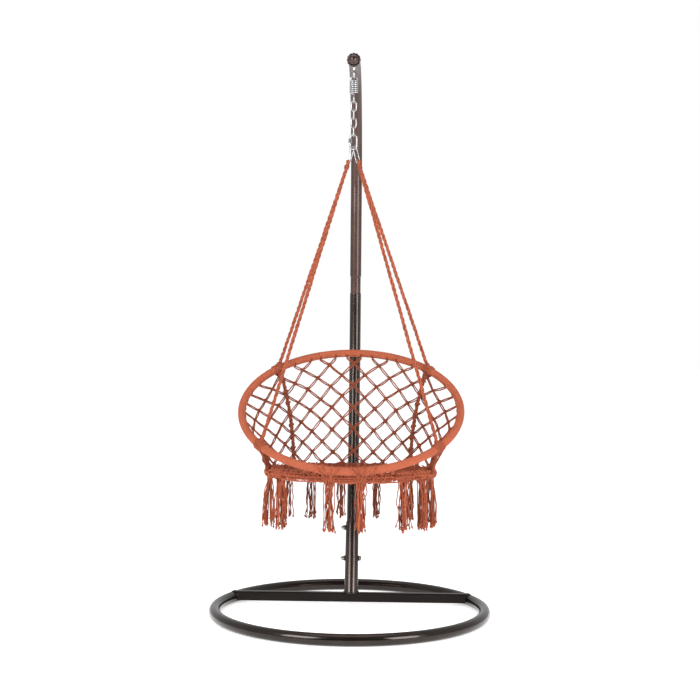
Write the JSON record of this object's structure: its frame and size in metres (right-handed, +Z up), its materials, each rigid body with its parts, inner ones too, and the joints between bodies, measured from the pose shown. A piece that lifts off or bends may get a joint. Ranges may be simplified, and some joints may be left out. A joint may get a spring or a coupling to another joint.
{
  "type": "hanging nest chair on stand",
  "caption": "Knotted-cord nest chair hung by four ropes, a short chain, a screw link and a spring from a bent-pole stand with a round tube base.",
  "frame": {"origin": "centre of the round base ring, on the floor", "axes": "+Z up; +Y towards the pole's side (the rear), -Y the side the sitter faces; +X across the seat"},
  "size_m": [1.0104, 1.0104, 2.0058],
  "materials": {
    "bronze_powder_coat": "dark bronze gloss powder coat with a fine hammered texture",
    "zinc_fasteners": "bright zinc plate",
    "zinc_suspension": "bright zinc plate",
    "raw_steel_rings": "plain steel tube, hidden under the winding",
    "wound_cord": "terracotta twisted cord wound tight",
    "twisted_rope": "terracotta three-strand rope",
    "knotted_net": "terracotta doubled cord tied in square knots",
    "tassel_strands": "terracotta cord strands with knotted ends"
  },
  "bodies": {
    "stand": {"base_ring": "bronze_powder_coat", "crossbar": "bronze_powder_coat", "pole_socket": "bronze_powder_coat", "lower_pole": "bronze_powder_coat", "upper_pole": "bronze_powder_coat", "saddle_washer_lower_left": "bronze_powder_coat", "saddle_washer_lower_right": "bronze_powder_coat", "socket_bolt_lower": "zinc_fasteners", "socket_nut_lower": "zinc_fasteners", "saddle_washer_upper_left": "bronze_powder_coat", "saddle_washer_upper_right": "bronze_powder_coat", "socket_bolt_upper": "zinc_fasteners", "socket_nut_upper": "zinc_fasteners", "finial_collar": "bronze_powder_coat", "finial_ball": "bronze_powder_coat", "eye_bolt": "zinc_fasteners", "eye_bolt_nut": "zinc_fasteners"},
    "spring_top": {"spring_upper_hook": "zinc_suspension", "spring_coil": "zinc_suspension"},
    "spring_foot": {"spring_lower_hook": "zinc_suspension"},
    "link_1": {"chain_link_1": "zinc_suspension"},
    "link_2": {"chain_link_2": "zinc_suspension"},
    "link_3": {"chain_link_3": "zinc_suspension"},
    "link_4": {"chain_link_4": "zinc_suspension"},
    "quick_link": {"quick_link": "zinc_suspension"},
    "quick_link_nut": {"quick_link_nut": "zinc_suspension"},
    "chair": {"rope_ring_left": "zinc_suspension", "rope_ring_right": "zinc_suspension", "upper_hoop": "raw_steel_rings", "hoop_winding": "wound_cord", "seat_ring": "raw_steel_rings", "seat_ring_winding": "wound_cord", "rope_front_left": "twisted_rope", "lashing_front_left": "twisted_rope", "rope_bundle_front_left": "twisted_rope", "rope_rear_left": "twisted_rope", "lashing_rear_left": "twisted_rope", "rope_lower_rear_left": "twisted_rope", "rope_front_right": "twisted_rope", "lashing_front_right": "twisted_rope", "rope_bundle_front_right": "twisted_rope", "rope_rear_right": "twisted_rope", "lashing_rear_right": "twisted_rope", "rope_lower_rear_right": "twisted_rope", "back_net": "knotted_net", "front_lashing": "knotted_net", "seat_net": "knotted_net", "tassel_01": "tassel_strands", "tassel_02": "tassel_strands", "tassel_03": "tassel_strands", "tassel_04": "tassel_strands", "tassel_05": "tassel_strands", "tassel_06": "tassel_strands", "tassel_07": "tassel_strands", "tassel_08": "tassel_strands", "tassel_09": "tassel_strands", "tassel_10": "tassel_strands", "tassel_11": "tassel_strands", "tassel_12": "tassel_strands", "tassel_13": "tassel_strands"}
  },
  "joints": [
    {"name": "swing_fore_aft", "type": "hinge", "parent": "stand", "child": "spring_top", "pos_m": [0, 0, 1.9258], "axis": [1, 0, 0], "range_deg": [-15, 2.5]},
    {"name": "spring_bounce", "type": "slide", "parent": "spring_top", "child": "spring_foot", "axis": [0, 0, -1], "range_m": [0, 0.015], "stiffness_N_per_m": 90000, "springref_m": -0.0006, "deforming": ["spring_coil"]},
    {"name": "link_1_sway", "type": "hinge", "parent": "spring_foot", "child": "link_1", "pos_m": [0, 0, 1.8327], "axis": [0, 1, 0], "range_deg": [-8, 8]},
    {"name": "link_2_twist", "type": "hinge", "parent": "link_1", "child": "link_2", "pos_m": [0, 0, 1.8061], "axis": [0, 0, 1], "range_deg": [-25, 25]},
    {"name": "link_3_pitch", "type": "hinge", "parent": "link_2", "child": "link_3", "pos_m": [0, 0, 1.7789], "axis": [-1, 0, 0], "range_deg": [-3, 5]},
    {"name": "link_4_twist", "type": "hinge", "parent": "link_3", "child": "link_4", "pos_m": [0, 0, 1.7467], "axis": [0, 0, 1], "range_deg": [-25, 25]},
    {"name": "quick_link_sway", "type": "hinge", "parent": "link_4", "child": "quick_link", "pos_m": [0, 0, 1.7144], "axis": [0, 1, 0], "range_deg": [-8, 8]},
    {"name": "quick_link_nut_travel", "type": "slide", "parent": "quick_link", "child": "quick_link_nut", "axis": [0, 0, 1], "range_m": [-0.0095, 0]},
    {"name": "chair_pitch", "type": "hinge", "parent": "quick_link", "child": "chair", "pos_m": [0, 0, 1.6691], "axis": [-1, 0, 0], "range_deg": [-2, 3.2]}
  ]
}
